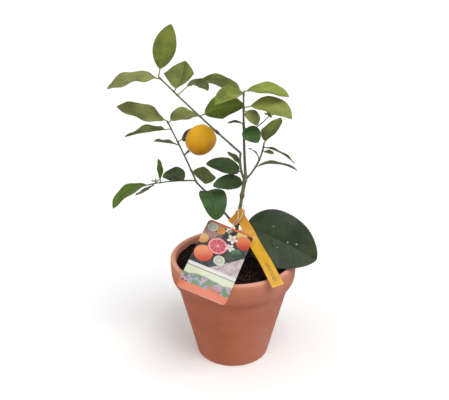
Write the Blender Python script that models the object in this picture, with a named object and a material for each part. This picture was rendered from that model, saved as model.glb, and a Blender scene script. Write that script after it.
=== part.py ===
"""A young lemon tree in a terracotta pot, with the trade labels that hang on it.

The pot's axis is Z and its flat underside stands at z = 0, with the origin at its centre.
The crown is open: every large leaf stands alone, so each is a thin blade of its own outline.
Lengths in the tables are millimetres and angles are degrees.
A heading is an azimuth, 0 along +X and 90 along +Y, and an elevation above the horizon.
"""

import math

import bmesh
import bpy
from mathutils import Matrix, Vector, noise

MM = 0.001
GAP = 0.35  # clearance between the soil, the pot and the trunk's foot
CLEARANCE = 0.5  # clearance that a limb keeps from what grows on it

# Pot
RIM_RADIUS = 75.0
POT_HEIGHT = 128.0
FOOT_RADIUS = 45.0
BAND_HEIGHT = 32.5
WALL = 6.5
FLOOR = 8.0
NECK_RADIUS = RIM_RADIUS - 8.5
DRAIN_RADIUS = 4.5
DRAIN_CIRCLE = 20.0
DRAIN_HOLES = 3
POT_SIDES = 48

# Soil
SOIL_TOP = 122.0
SOIL_EDGE_DROP = 2.0

# Leaves
PETIOLE_WIDTH = 1.7
BLADE_THICKNESS = 1.2
BLADE_ROWS = 7
PETIOLE_ROWS = 2
OUTLINES = {"young": (0.80, 0.85), "mature": (0.62, 0.80), "old": (0.50, 0.68)}

# Each limb: parent, place along it, azimuth and elevation at its start and its end, length, radii.
LIMBS = {
    "trunk": (None, 0.0, (0, 0), (84.7, 80.7), 106.5, (2.5, 2.3)),
    "leader": ("trunk", 0.989, (180, 180), (86, 90), 96, (1.8, 0.9)),
    "bough_left_foot": ("trunk", 0.942, (215, 205), (62, 98), 35, (1.4, 1.3)),
    "bough_left": ("bough_left_foot", 0.99, (192, 196), (43, 46.5), 123, (1.3, 0.8)),
    "bough_low": ("trunk", 0.414, (175, 174), (52.5, 46), 73, (1.6, 1.2)),
    "bough_low_top": ("bough_low", 0.99, (173, 171), (68, 63), 78, (1.2, 0.8)),
    "bough_right": ("trunk", 0.947, (3, 12), (45, 83), 49, (1.3, 0.9)),
    "twig_low": ("bough_low_top", 0.03, (193, 203), (6, -4), 53, (1.0, 0.7)),
    "twig_back": ("leader", 0.50, (41, 25), (12, 41), 38, (0.9, 0.6)),
}
FLARE = 2.6  # how far the trunk's foot spreads beyond its taper
FLARE_HEIGHT = 5.0
LIMB_STEP = 6.0
LIMB_SIDES = 7

# Each leaf: limb, place along it, petiole, azimuth, elevation of its chord, droop, roll,
# length, width, fold of its halves and age. Roll turns the upper face, left side down.
LEAVES = {
    "leaf_top": ("bough_left", 1.00, 8, 350, 73, 8, 108, 46, 23, 8, "young"),
    "leaf_crest_left": ("bough_left", 0.975, 4, 206, -8, 40, -26, 53, 20, 14, "young"),
    "leaf_crest_fold": ("bough_left", 0.82, 5, 70, 46, -30, -2, 36, 36, 18, "young"),
    "leaf_crest_right": ("bough_left", 0.78, 13, 32, -14, 96, -38, 30, 16, 14, "young"),
    "leaf_leader_left": ("leader", 0.96, 4, 166, 12, 50, 46, 48, 22, 10, "young"),
    "leaf_leader_front": ("leader", 0.99, 3, 240, -4, 30, -30, 56, 20, 20, "young"),
    "leaf_inner": ("bough_left", 0.51, 6, 22, 6, 30, -80, 47, 29, 14, "mature"),
    "leaf_low_left": ("bough_low_top", 1.00, 3, 206, 20, 10, -48, 56, 22, 12, "young"),
    "leaf_low_right": ("bough_low_top", 0.96, 4, 38, 1, 54, 25, 38, 22, 10, "young"),
    "leaf_low_second": ("bough_low_top", 0.87, 8, 216, -1, 8, 32, 49, 22, 24, "young"),
    "leaf_low_third": ("bough_low_top", 0.61, 3, 161, 2, 9, 32, 29, 12, 21, "mature"),
    "leaf_fruit": ("bough_low_top", 0.66, 8, 60, 0, 19, -80, 38, 15, 5, "mature"),
    "leaf_twig_far": ("twig_low", 1.00, 4, 216, -24, 57, 5, 48, 30, 10, "mature"),
    "leaf_twig_under": ("twig_low", 0.91, 3, 154, -34, -23, 6, 29, 20, 8, "mature"),
    "leaf_twig_upright": ("twig_low", 0.77, 4, 106, 72, 4, 46, 23, 11, 14, "young"),
    "leaf_twig_dark": ("twig_low", 0.25, 2, 232, 22, 44, 60, 36, 20, 16, "old"),
    "leaf_bough_under": ("bough_low_top", 0.19, 3, 46, -24, -14, 60, 40, 21, 8, "mature"),
    "leaf_stem_left": ("bough_left_foot", 0.34, 4, 214, 20, 24, -66, 46, 18, 14, "old"),
    "leaf_stem_behind": ("bough_left_foot", 0.60, 3, 130, 22, 20, 10, 22, 11, 12, "mature"),
    "leaf_fork_left": ("trunk", 0.926, 4, 217, 5, 20, -54, 40, 18, 12, "old"),
    "leaf_hanging": ("bough_low", 0.79, 10, 290, -37, 120, 2, 47, 30, 8, "old"),
    "leaf_great": ("trunk", 0.46, 10, 340, -18, 14, 50, 90, 66, 6, "old"),
    "leaf_leader_right": ("leader", 1.00, 3, 346, -5, 34, 20, 47, 24, 18, "young"),
    "leaf_halfmoon": ("leader", 0.82, 9, 334, -11, 54, 28, 50, 26, 16, "young"),
    "leaf_under_moon": ("leader", 0.79, 4, 318, -40, 50, 20, 21, 16, 12, "mature"),
    "leaf_stem_dark": ("leader", 0.60, 4, 310, -30, 16, 30, 23, 20, 8, "old"),
    "leaf_right_upright": ("bough_right", 1.00, 3, 54, 34, 0, -18, 37, 29, 14, "mature"),
    "leaf_right_arch": ("bough_right", 0.90, 4, 336, -23, 36, -27, 37, 12, 16, "mature"),
    "leaf_right_low": ("bough_right", 0.41, 4, 346, -3, 52, -25, 45, 21, 8, "mature"),
    "leaf_right_inner": ("bough_right", 0.58, 2, 149, 35, 73, 26, 18, 7, 12, "mature"),
    "leaf_right_small": ("bough_right", 0.81, 2, 326, -5, 10, 9, 13, 8, 12, "young"),
    "leaf_stem_small": ("leader", 0.63, 2, 172, -2, 40, 30, 16, 9, 12, "mature"),
}

# Each tuft of small young leaves: limb, place along it, its heading and reach, and its radii.
TUFTS = {
    "tuft_back": ("twig_back", 1.00, (30, 0), 4.0, (7.0, 5.0, 4.5)),
    "tuft_low": ("twig_low", 0.86, (120, 70), 3.4, (2.8, 2.6, 3.2)),
}

# Fruit
FRUIT_LIMB = ("bough_low_top", 0.445)
FRUIT_RADIUS = 16.6
FRUIT_LENGTH = 36.0
FRUIT_HEADING = (19, 39)
FRUIT_STALK = 6.5

# Picture label, and the strip label looped round the trunk
CARD_SIZE = (55.0, 97.0)
CARD_THICKNESS = 0.8
CARD_CORNER = 5.0
CARD_TOP = (-2.3, -14.3, 169.0)  # middle of its upper edge
CARD_HEADING = (249, -24.5)
CARD_ROLL = -20
CARD_HOLE_RADIUS = 2.2
CARD_HOLE_INSET = 6.0
THREAD_RADIUS = 0.5
STRIP_WIDTH = 14.0
STRIP_THICKNESS = 0.7

COLOURS = {
    "terracotta": ((0.42, 0.13, 0.075), 0.85),
    "soil": ((0.02, 0.012, 0.01), 1.0),
    "bark": ((0.10, 0.11, 0.05), 0.8),
    "twig": ((0.09, 0.12, 0.04), 0.7),
    "young": ((0.18, 0.24, 0.035), 0.55),
    "mature": ((0.08, 0.15, 0.03), 0.5),
    "old": ((0.025, 0.06, 0.02), 0.4),
    "fruit": ((0.85, 0.42, 0.03), 0.4),
    "card": ((0.75, 0.45, 0.35), 0.4),
    "strip": ((0.85, 0.55, 0.03), 0.5),
    "thread": ((0.8, 0.78, 0.72), 0.6),
}


def clear_scene():
    for old in list(bpy.data.objects):
        bpy.data.objects.remove(old, do_unlink=True)


def material(slot):
    made = bpy.data.materials.get(slot)
    if made is None:
        colour, roughness = COLOURS[slot]
        made = bpy.data.materials.new(slot)
        made.use_nodes = True
        shader = made.node_tree.nodes["Principled BSDF"]
        shader.inputs["Base Color"].default_value = (*colour, 1)
        shader.inputs["Roughness"].default_value = roughness
        made.diffuse_color = (*colour, 1)
    return made


def add_object(name, mesh, slot):
    """Links one object, its mesh converted from millimetres to metres."""
    mesh.transform(Matrix.Scale(MM, 4))
    mesh.update()
    made = bpy.data.objects.new(name, mesh)
    bpy.context.scene.collection.objects.link(made)
    if slot:
        mesh.materials.append(material(slot))
    return made


def mesh_from(bm, name):
    bmesh.ops.recalc_face_normals(bm, faces=bm.faces)
    mesh = bpy.data.meshes.new(name)
    bm.to_mesh(mesh)
    bm.free()
    return mesh


def heading(azimuth, elevation):
    a, e = math.radians(azimuth), math.radians(elevation)
    return Vector((math.cos(a) * math.cos(e), math.sin(a) * math.cos(e), math.sin(e)))


def make_cutter(cutter):
    cutter.hide_render = True
    cutter.display_type = "WIRE"
    return cutter


def cut(piece, cutter):
    difference = piece.modifiers.new(f"clear_{cutter.name}", "BOOLEAN")
    difference.operation = "DIFFERENCE"
    difference.solver = "EXACT"
    difference.object = cutter


def turned(name, profile, slot, sides=POT_SIDES):
    """A closed solid of revolution. The profile starts and ends on the axis."""
    bm = bmesh.new()
    line = [bm.verts.new((r, 0, z)) for r, z in profile]
    edges = [bm.edges.new(pair) for pair in zip(line, line[1:])]
    bmesh.ops.spin(bm, geom=line + edges, cent=(0, 0, 0), axis=(0, 0, 1),
                   angle=math.tau, steps=sides, use_merge=True)
    bmesh.ops.remove_doubles(bm, verts=bm.verts, dist=0.01)
    made = add_object(name, mesh_from(bm, name), slot)
    made.data.shade_smooth()
    made.data.set_sharp_from_angle(angle=math.radians(35))
    return made


def inner_radius(z):
    """Radius of the pot's inner wall at height z, parallel to its outer taper."""
    slope = (NECK_RADIUS - FOOT_RADIUS) / (POT_HEIGHT - BAND_HEIGHT)
    return min(FOOT_RADIUS + slope * z - WALL, RIM_RADIUS - WALL)


def pot():
    band_foot = POT_HEIGHT - BAND_HEIGHT
    inside_foot = inner_radius(FLOOR + 2)
    profile = [(0, 0), (FOOT_RADIUS - 2, 0), (FOOT_RADIUS - 0.4, 0.8), (FOOT_RADIUS, 3),
               (NECK_RADIUS, band_foot - 3.5), (NECK_RADIUS + 1.0, band_foot - 1.0),
               (NECK_RADIUS + 3.6, band_foot + 2.0), (RIM_RADIUS - 2.4, band_foot + 5.5),
               (RIM_RADIUS - 0.9, band_foot + 10.5), (RIM_RADIUS, POT_HEIGHT - 8), (RIM_RADIUS - 0.2, POT_HEIGHT - 2.2),
               (RIM_RADIUS - 1.6, POT_HEIGHT - 0.5), (RIM_RADIUS - 3.2, POT_HEIGHT),
               (RIM_RADIUS - 5.2, POT_HEIGHT - 0.6), (RIM_RADIUS - WALL, POT_HEIGHT - 2.4),
               (inner_radius(band_foot - 2), band_foot - 2),
               (inside_foot, FLOOR + 2), (inside_foot - 2.5, FLOOR), (0, FLOOR)]
    body = turned("pot", profile, "terracotta")
    for k in range(DRAIN_HOLES):
        centre = heading(90 + k * 360 / DRAIN_HOLES, 0) * DRAIN_CIRCLE
        bm = bmesh.new()
        bmesh.ops.create_cone(bm, cap_ends=True, segments=24, radius1=DRAIN_RADIUS,
                              radius2=DRAIN_RADIUS, depth=FLOOR * 3,
                              matrix=Matrix.Translation(centre))
        cut(body, make_cutter(add_object(f"drain_{k}", mesh_from(bm, "drain"), None)))


def soil():
    low = FLOOR + GAP
    foot = inner_radius(FLOOR + 2) - 2.5 - GAP
    steps = [(inner_radius(z) - GAP, z) for z in (FLOOR + 2 + GAP, 60, 90, 93, SOIL_TOP - 6)]
    edge = RIM_RADIUS - WALL - GAP
    profile = [(0, low), (foot, low), *steps[:3],
               (min(steps[3][0], edge), 93), (min(steps[4][0] + 2, edge), SOIL_TOP - SOIL_EDGE_DROP),
               (edge - 14, SOIL_TOP - 0.8), (30, SOIL_TOP - 0.3), (11, SOIL_TOP), (0, SOIL_TOP)]
    turned("soil", profile, "soil", sides=36)


def grown(start, azimuths, elevations, length):
    """Points of a limb whose heading turns evenly from its start to its tip."""
    count = max(4, round(length / LIMB_STEP))
    points = [start.copy()]
    for k in range(count):
        share = (k + 0.5) / count
        azimuth = azimuths[0] + (azimuths[1] - azimuths[0]) * share
        elevation = elevations[0] + (elevations[1] - elevations[0]) * share
        points.append(points[-1] + heading(azimuth, elevation) * (length / count))
    return points


def along(points, share):
    """The point at a share of a limb's length."""
    place = share * (len(points) - 1)
    k = min(int(place), len(points) - 2)
    return points[k].lerp(points[k + 1], place - k)


def tube(name, points, radii, slot, sides=LIMB_SIDES, extra=0.0, flat_foot=False):
    """A tapering limb. extra grows it all over, for the clearance that its neighbours keep."""
    bm = bmesh.new()
    rings = []
    last = len(points) - 1
    for k, point in enumerate(points):
        forward = (points[min(k + 1, last)] - points[max(k - 1, 0)]).normalized()
        if flat_foot and k == 0:
            forward = Vector((0, 0, 1))
        side = forward.orthogonal() if not rings else (side - forward * side.dot(forward))
        side.normalize()
        over = forward.cross(side)
        place = point - forward * extra * (k == 0) + forward * extra * (k == last)
        radius = radii[k] + extra
        ring = [bm.verts.new(place + (side * math.cos(a) + over * math.sin(a)) * radius)
                for a in (math.tau * n / sides for n in range(sides))]
        rings.append(ring)
    for low, high in zip(rings, rings[1:]):
        for n in range(sides):
            bm.faces.new((low[n], low[(n + 1) % sides], high[(n + 1) % sides], high[n]))
    bm.faces.new(reversed(rings[0]))
    bm.faces.new(rings[-1])
    made = add_object(name, mesh_from(bm, name), slot)
    made.data.shade_smooth()
    return made


def limbs():
    """Makes every limb with its clearance. Returns each one's points and its clearance."""
    lines, clearances = {}, {}
    for name, (parent, place, azimuths, elevations, length, ends) in LIMBS.items():
        start = Vector((0, 0, SOIL_TOP + GAP))
        if parent:
            start = along(lines[parent], place)
        points = grown(start, azimuths, elevations, length)
        last = len(points) - 1
        radii = [ends[0] + (ends[1] - ends[0]) * k / last for k in range(last + 1)]
        if parent is None:
            foot = points[0].lerp(points[1], 0.35)
            points.insert(1, foot)
            radii.insert(1, radii[0])
            radii = [r + FLARE * math.exp(-(p.z - start.z) / FLARE_HEIGHT)
                     for r, p in zip(radii, points)]
        slot = "bark" if parent is None else "twig"
        made = tube(name, points, radii, slot, flat_foot=parent is None)
        clearance = tube(f"clear_of_{name}", points, radii, None, extra=CLEARANCE)
        clearances[name] = make_cutter(clearance)
        if parent:
            cut(made, clearances[parent])
        lines[name] = points
    return lines, clearances


def blade_half_width(share, width, age):
    """Half the blade's width at a share of its length, by the outline of its age."""
    base, tip = OUTLINES[age]
    widest = base / (base + tip)
    peak = widest**base * (1 - widest) ** tip
    return width / 2 * (share**base * (1 - share) ** tip) / peak


def leaf(name, lines, clearances):
    """A thin blade on its petiole, folded along the midrib and drooping along its length."""
    limb, place, petiole, azimuth, chord, droop, roll, length, width, fold, age = LEAVES[name]
    start = along(lines[limb], place)
    base_elevation = chord + droop / 2
    stations = [(-petiole * (1 - k / PETIOLE_ROWS), 0.0) for k in range(PETIOLE_ROWS)]
    stations += [(length * k / BLADE_ROWS, k / BLADE_ROWS) for k in range(BLADE_ROWS + 1)]
    point, before = start, -petiole
    bm = bmesh.new()
    rows = []
    for reach, share in stations:
        middle = max(0.0, (share - 0.5 / BLADE_ROWS))
        forward = heading(azimuth, base_elevation - droop * middle)
        point = point + forward * (reach - before)
        before = reach
        forward = heading(azimuth, base_elevation - droop * share)
        level = heading(azimuth + 90, 0)
        side = Matrix.Rotation(math.radians(roll), 3, forward) @ level
        over = forward.cross(side)
        half = PETIOLE_WIDTH / 2
        if 0 < share < 1:
            half = max(half, blade_half_width(share, width, age))
        elif share == 1:
            half = PETIOLE_WIDTH / 4
        lift = math.radians(fold) if share > 0 else 0.0
        spread = side * half * math.cos(lift)
        rise = over * half * math.sin(lift)
        rows.append([bm.verts.new(p) for p in (point + spread + rise, point, point - spread + rise)])
    for low, high in zip(rows, rows[1:]):
        for n in range(2):
            bm.faces.new((low[n], low[n + 1], high[n + 1], high[n]))
    made = add_object(name, mesh_from(bm, name), age)
    made.data.shade_smooth()
    thickness = made.modifiers.new("thickness", "SOLIDIFY")
    thickness.thickness = BLADE_THICKNESS * MM
    thickness.offset = 0
    cut(made, clearances[limb])
    return made


def tuft(name, lines, clearances):
    """A small uneven mass of young leaves round a twig's end."""
    limb, place, direction, reach, radii = TUFTS[name]
    centre = along(lines[limb], place) + heading(*direction) * reach
    bm = bmesh.new()
    bmesh.ops.create_icosphere(bm, subdivisions=2, radius=1)
    for vert in bm.verts:
        wobble = 1 + 0.35 * noise.noise(vert.co * 1.7 + Vector((len(name), 3, 1)))
        vert.co = Vector(c * r * wobble for c, r in zip(vert.co, radii)) + centre
    made = add_object(name, mesh_from(bm, name), "young")
    cut(made, clearances[limb])


def fruit(lines, clearances):
    """The lemon: a ball drawn out to a blunt tip, on a short stalk."""
    limb, place = FRUIT_LIMB
    forward = heading(*FRUIT_HEADING)
    stalk_foot = along(lines[limb], place)
    shoulder = stalk_foot + forward * (FRUIT_STALK + 1)
    sides, rings = 20, 12
    bm = bmesh.new()
    side = forward.orthogonal().normalized()
    over = forward.cross(side)
    poles = []
    loops = []
    for k in range(rings + 1):
        share = k / rings
        turn = math.pi * share
        reach = FRUIT_LENGTH * (0.5 - 0.5 * math.cos(turn))
        radius = FRUIT_RADIUS * math.sin(turn) ** 0.92
        if k in (0, rings):
            poles.append(bm.verts.new(shoulder + forward * reach))
            continue
        loops.append([bm.verts.new(shoulder + forward * reach
                                   + (side * math.cos(a) + over * math.sin(a)) * radius)
                      for a in (math.tau * n / sides for n in range(sides))])
    for low, high in zip(loops, loops[1:]):
        for n in range(sides):
            bm.faces.new((low[n], low[(n + 1) % sides], high[(n + 1) % sides], high[n]))
    for pole, loop in zip(poles, (loops[0], loops[-1])):
        for n in range(sides):
            bm.faces.new((pole, loop[n], loop[(n + 1) % sides]))
    made = add_object("lemon", mesh_from(bm, "lemon"), "fruit")
    made.data.shade_smooth()
    stalk = tube("lemon_stalk", [stalk_foot, stalk_foot + forward * (FRUIT_STALK + 1 - GAP)],
                 [0.9, 1.3], "twig", sides=8)
    cut(stalk, clearances[limb])


def rounded_rectangle(width, length, corner, steps=4):
    """Corner points of a rectangle from y = 0 down to y = -length, its corners rounded."""
    outline = []
    middles = [(width / 2 - corner, -corner, 0), (corner - width / 2, -corner, 90),
               (corner - width / 2, corner - length, 180), (width / 2 - corner, corner - length, 270)]
    for x, y, first in middles:
        for k in range(steps + 1):
            turn = math.radians(first + 90 * k / steps)
            outline.append((x + corner * math.cos(turn), y + corner * math.sin(turn)))
    return outline


def card_frame():
    """Places the card: its own -Y runs down its length, and +X across it, level."""
    down = heading(*CARD_HEADING)
    across = Matrix.Rotation(math.radians(CARD_ROLL), 3, down) @ heading(CARD_HEADING[0] + 90, 0)
    face = across.cross(-down)
    turn = Matrix((across, -down, face)).transposed().to_4x4()
    return Matrix.Translation(Vector(CARD_TOP)) @ turn


def card():
    bm = bmesh.new()
    outline = rounded_rectangle(*CARD_SIZE, CARD_CORNER)
    face = bm.faces.new([bm.verts.new((x, y, 0)) for x, y in outline])
    grown_up = bmesh.ops.extrude_face_region(bm, geom=[face])
    lifted = [v for v in grown_up["geom"] if isinstance(v, bmesh.types.BMVert)]
    bmesh.ops.translate(bm, verts=lifted, vec=(0, 0, CARD_THICKNESS))
    bm.transform(card_frame())
    made = add_object("picture_label", mesh_from(bm, "picture_label"), "card")
    bm = bmesh.new()
    hole = card_frame() @ Matrix.Translation((0, -CARD_HOLE_INSET, 0))
    bmesh.ops.create_cone(bm, cap_ends=True, segments=20, radius1=CARD_HOLE_RADIUS,
                          radius2=CARD_HOLE_RADIUS, depth=8, matrix=hole)
    cut(made, make_cutter(add_object("card_hole", mesh_from(bm, "card_hole"), None)))


def ribbon(name, stations, thickness, slot):
    """A strip through (middle, side direction, width) stations, smoothed between them."""
    smooth = []
    last = len(stations) - 1
    for k in range(last):
        around = [stations[min(max(k + n, 0), last)] for n in (-1, 0, 1, 2)]
        for step in range(3):
            smooth.append(tuple(spline([row[field] for row in around], step / 3)
                                for field in range(3)))
    smooth.append(tuple(Vector(v) if not isinstance(v, float) else v for v in stations[-1]))
    bm = bmesh.new()
    rows = []
    for middle, side, width in smooth:
        side = side.normalized() * width / 2
        rows.append([bm.verts.new(p) for p in (middle + side, middle - side)])
    for low, high in zip(rows, rows[1:]):
        bm.faces.new((low[0], low[1], high[1], high[0]))
    made = add_object(name, mesh_from(bm, name), slot)
    made.data.shade_smooth()
    depth = made.modifiers.new("thickness", "SOLIDIFY")
    depth.thickness = thickness * MM
    depth.offset = 0
    return made


def spline(values, t):
    """A smooth value between the middle two of four, for numbers and vectors."""
    a, b, c, d = (v if isinstance(v, float) else Vector(v) for v in values)
    return (b * 2 + (c - a) * t + (a * 2 - b * 5 + c * 4 - d) * t**2
            + (b * 3 - a - c * 3 + d) * t**3) * 0.5


def strip():
    """The yellow label: a band looped round the trunk, then a straight run over the rim."""
    stations = [
        ((-3.4, -13.0, 175.3), (0.66, 0.20, -0.72), 7.0),
        ((3.4, -12.0, 182.4), (0.66, 0.15, -0.72), 8.5),
        ((10.0, -9.3, 187.9), (0.50, 0.10, -0.85), 8.0),
        ((12.8, -1.0, 182.5), (0.00, 0.10, -1.00), 6.5),
        ((8.2, 5.0, 181.5), (-0.10, 0.00, -1.00), 6.5),
        ((2.2, -0.6, 180.5), (-0.10, -0.10, -1.00), 6.5),
        ((7.9, -6.4, 181.3), (-0.75, -0.25, -0.60), 8.0),
        ((12.1, -10.0, 174.1), (-0.88, -0.35, -0.30), 11.0),
        ((18.2, -14.0, 163.8), (-0.88, -0.40, -0.20), 13.0),
        ((24.0, -22.0, 153.8), (-0.90, -0.40, -0.10), STRIP_WIDTH),
        ((36.0, -50.0, 143.8), (-0.92, -0.38, -0.08), STRIP_WIDTH),
        ((48.2, -75.0, 128.8), (-0.92, -0.36, -0.16), STRIP_WIDTH),
    ]
    ribbon("strip_label", stations, STRIP_THICKNESS, "strip")


def thread():
    """The elastic that hangs the picture label: one loop through its hole, round the trunk."""
    place = card_frame()
    points = [place @ Vector(p) for p in ((0, -CARD_HOLE_INSET, -2.2), (0, -CARD_HOLE_INSET, 3.0),
                                          (0, 3.0, 4.0))]
    points += [Vector(p) for p in ((4.8, -15.8, 182.5), (5.0, -11.2, 191.0), (5.0, 0.6, 193.5),
                                   (8.6, 4.6, 194.0), (12.2, 0.6, 193.5), (11.4, -10.6, 190.8),
                                   (8.4, -15.6, 183.0))]
    points.append(place @ Vector((1.0, 3.0, -2.6)))
    line = bpy.data.curves.new("thread", "CURVE")
    line.dimensions = "3D"
    line.bevel_depth = THREAD_RADIUS * MM
    line.bevel_resolution = 1
    run = line.splines.new("POLY")
    run.use_cyclic_u = True
    count = len(points)
    smooth = [spline([points[(k + n - 1) % count] for n in range(4)], step / 3)
              for k in range(count) for step in range(3)]
    run.points.add(len(smooth) - 1)
    for point, place in zip(run.points, smooth):
        point.co = (*(place * MM), 1)
    made = bpy.data.objects.new("thread", line)
    made.data.materials.append(material("thread"))
    bpy.context.scene.collection.objects.link(made)


def main():
    clear_scene()
    pot()
    soil()
    lines, clearances = limbs()
    for name in LEAVES:
        leaf(name, lines, clearances)
    for name in TUFTS:
        tuft(name, lines, clearances)
    fruit(lines, clearances)
    card()
    strip()
    thread()


main()
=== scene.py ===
"""The looks of a young lemon tree in a terracotta pot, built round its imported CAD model.

A finer mesh stands for each CAD node, so the tables repeat the design's own sizes, with small trims
to the limbs' radii, some leaves' outlines, the strip and the thread. Lengths are millimetres and
angles are degrees. Finished meshes, and a material's object coordinates, are in metres.
A heading is an azimuth, 0 along +X and 90 along +Y, and an elevation above the horizon.
"""

import random
from math import copysign, cos, exp, pi, radians, sin, sqrt, tau

import bmesh
import bpy
from mathutils import Matrix, Vector, noise


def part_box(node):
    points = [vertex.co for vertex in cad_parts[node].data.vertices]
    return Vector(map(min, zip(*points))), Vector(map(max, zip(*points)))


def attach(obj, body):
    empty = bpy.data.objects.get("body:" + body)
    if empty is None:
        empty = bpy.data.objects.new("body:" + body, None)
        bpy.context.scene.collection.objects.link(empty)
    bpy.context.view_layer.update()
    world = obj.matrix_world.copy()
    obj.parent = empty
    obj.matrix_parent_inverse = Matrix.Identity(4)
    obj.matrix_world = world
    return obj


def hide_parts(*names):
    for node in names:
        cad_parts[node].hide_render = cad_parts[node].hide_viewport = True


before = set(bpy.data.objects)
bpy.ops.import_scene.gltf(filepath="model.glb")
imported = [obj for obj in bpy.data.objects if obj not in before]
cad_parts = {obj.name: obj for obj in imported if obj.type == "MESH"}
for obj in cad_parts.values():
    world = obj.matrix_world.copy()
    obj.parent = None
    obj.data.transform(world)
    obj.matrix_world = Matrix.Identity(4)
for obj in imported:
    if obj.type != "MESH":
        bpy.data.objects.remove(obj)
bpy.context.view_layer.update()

MM = 0.001
BODY = "root"
FLAT_UNIT = 100.0  # millimetres in one unit of a piece's UV map
MERGE = 0.01
chance = random.Random(7)

# Pot and soil
RIM_RADIUS = 75.0
POT_HEIGHT = 128.0
FOOT_RADIUS = 45.0
BAND_HEIGHT = 32.5
WALL = 6.5
FLOOR = 8.0
NECK_RADIUS = RIM_RADIUS - 8.5
DRAIN_RADIUS = 4.5
DRAIN_CIRCLE = 20.0
DRAIN_HOLES = 3
SOIL_TOP = 122.0
SOIL_GAP = 0.35
SOIL_DEPTH = 10.0
CHIPS = 760
CHIP_LIFT = 0.35  # how far a chip's middle stands above the soil

# Each limb: parent, place along it, azimuth and elevation at its start and its end, length, radii.
LIMBS = {
    "trunk": (None, 0.0, (0, 0), (84.7, 80.7), 106.5, (2.1, 2.3)),
    "leader": ("trunk", 0.989, (180, 180), (86, 90), 96, (1.7, 0.9)),
    "bough_left_foot": ("trunk", 0.942, (215, 205), (62, 98), 35, (1.4, 1.2)),
    "bough_left": ("bough_left_foot", 0.99, (192, 196), (43, 46.5), 123, (1.2, 0.75)),
    "bough_low": ("trunk", 0.414, (175, 174), (52.5, 46), 73, (1.5, 1.15)),
    "bough_low_top": ("bough_low", 0.99, (173, 171), (68, 63), 78, (1.15, 0.75)),
    "bough_right": ("trunk", 0.947, (3, 12), (45, 83), 49, (1.2, 0.8)),
    "twig_low": ("bough_low_top", 0.03, (193, 203), (6, -4), 53, (0.95, 0.6)),
    "twig_back": ("leader", 0.50, (41, 25), (12, 41), 38, (0.8, 0.5)),
}
LIMB_STEP = 6.0
FOOT_STEP = 0.35  # where the trunk's first step has a point of its own
FLARE = 2.4
FLARE_HEIGHT = 5.0
FOOT_SWELL = (0.28, 1.7)  # how far a limb swells where something grows on it, and how far along
BARK_STEP = 0.9
BARK_COLUMNS = 18

# Each limb's old scars: place along it, how far it swells and how far the swelling reaches.
SCARS = {
    "trunk": [(0.78, 0.9, 2.2), (0.60, 0.3, 1.2), (0.16, 0.4, 1.6)],
    "bough_left": [(0.30, 0.9, 2.6), (0.12, 0.25, 1.0)],
    "leader": [(0.82, 0.3, 1.0)],
    "bough_low": [(0.40, 0.3, 1.2)],
}

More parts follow.
